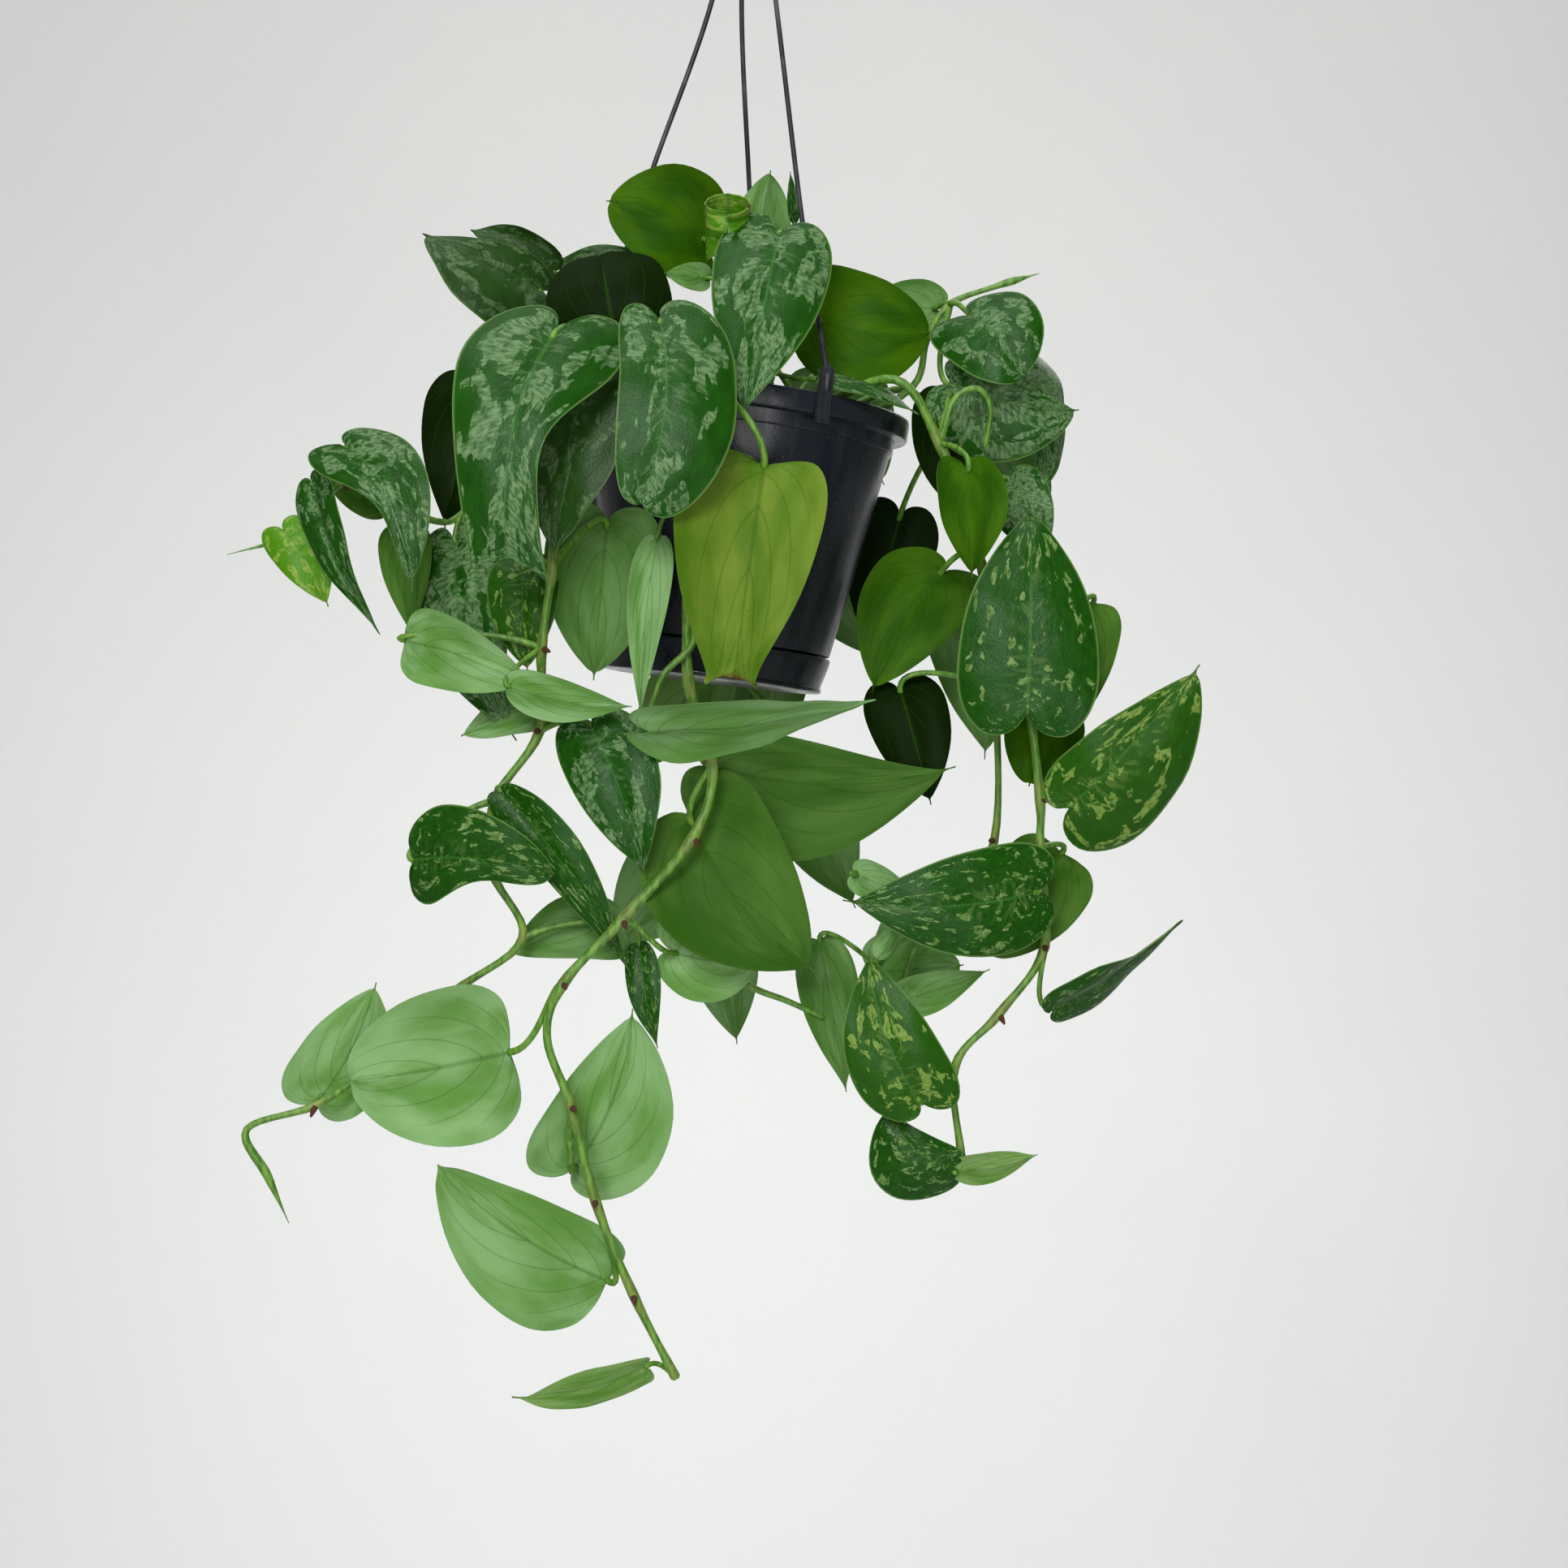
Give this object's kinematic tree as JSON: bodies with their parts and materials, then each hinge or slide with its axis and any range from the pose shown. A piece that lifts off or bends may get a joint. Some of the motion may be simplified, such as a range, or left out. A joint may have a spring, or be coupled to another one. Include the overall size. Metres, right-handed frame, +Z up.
{
  "type": "potted trailing pothos plant",
  "caption": "Trailing satin pothos with silver-mottled heart-shaped leaves in a round nursery pot with a drip saucer, hung by a three-strand hanger and hook.",
  "frame": {"origin": "the point inside the hook that bears on the fitting it hangs from", "axes": "+Z up, +X to the right seen from the front, +Y to the back"},
  "size_m": [0.4242, 0.2413, 0.7365],
  "materials": {
    "leaf_silver": "satin leaf, dark green mottled with silver grey",
    "leaf_under": "matte leaf underside, plain light green",
    "stem_green": "smooth fleshy stem, semi-matte",
    "pot_black": "thin moulded black plastic, scuffed semi-gloss",
    "hanger_grey": "moulded dark plastic",
    "soil_brown": "loose dark potting mix"
  },
  "bodies": {
    "root": {"pot": "pot_black", "saucer": "pot_black", "soil": "soil_brown", "hook": "hanger_grey", "strand_left": "hanger_grey", "strand_back": "hanger_grey", "strand_right": "hanger_grey", "stem_crown": "stem_green", "stem_front": "stem_green", "stem_left": "stem_green", "stem_farleft": "stem_green", "stem_right_front": "stem_green", "stem_right_back": "stem_green", "stem_right_top": "stem_green", "stem_back": "stem_green", "crown_left": "leaf_under", "crown_rolled": "leaf_silver", "crown_back_mid": "leaf_under", "crown_front": "leaf_silver", "crown_right": "leaf_under", "front_yellow": "leaf_under", "shoulder_mid": "leaf_silver", "under_wavy": "leaf_under", "under_right": "leaf_under", "under_olive": "leaf_under", "low_round": "leaf_under", "low_behind_stem": "leaf_under", "low_leaf": "leaf_under", "low_edge": "leaf_under", "crown_olive": "leaf_under", "shoulder_left": "leaf_silver", "shoulder_behind": "leaf_silver", "left_shade_big": "leaf_under", "under_left_var": "leaf_silver", "spotted_left": "leaf_silver", "low_mid_pale": "leaf_under", "low_far_left": "leaf_under", "left_top_long": "leaf_silver", "left_grey_big": "leaf_silver", "farleft_silver": "leaf_silver", "farleft_folded": "leaf_silver", "farleft_young": "leaf_silver", "right_bright": "leaf_under", "right_spotted": "leaf_silver", "right_far": "leaf_silver", "right_dark_flat": "leaf_silver", "right_behind": "leaf_under", "right_twisted": "leaf_silver", "low_right_spotted": "leaf_silver", "low_right_small": "leaf_silver", "right_hanging": "leaf_silver", "pot_side_dark": "leaf_under", "pot_side_olive": "leaf_under", "right_pale_low": "leaf_under", "right_top_round": "leaf_silver", "right_silver": "leaf_silver", "back_high": "leaf_silver", "back_left": "leaf_silver", "back_mid": "leaf_silver", "back_low": "leaf_silver"}
  },
  "joints": []
}
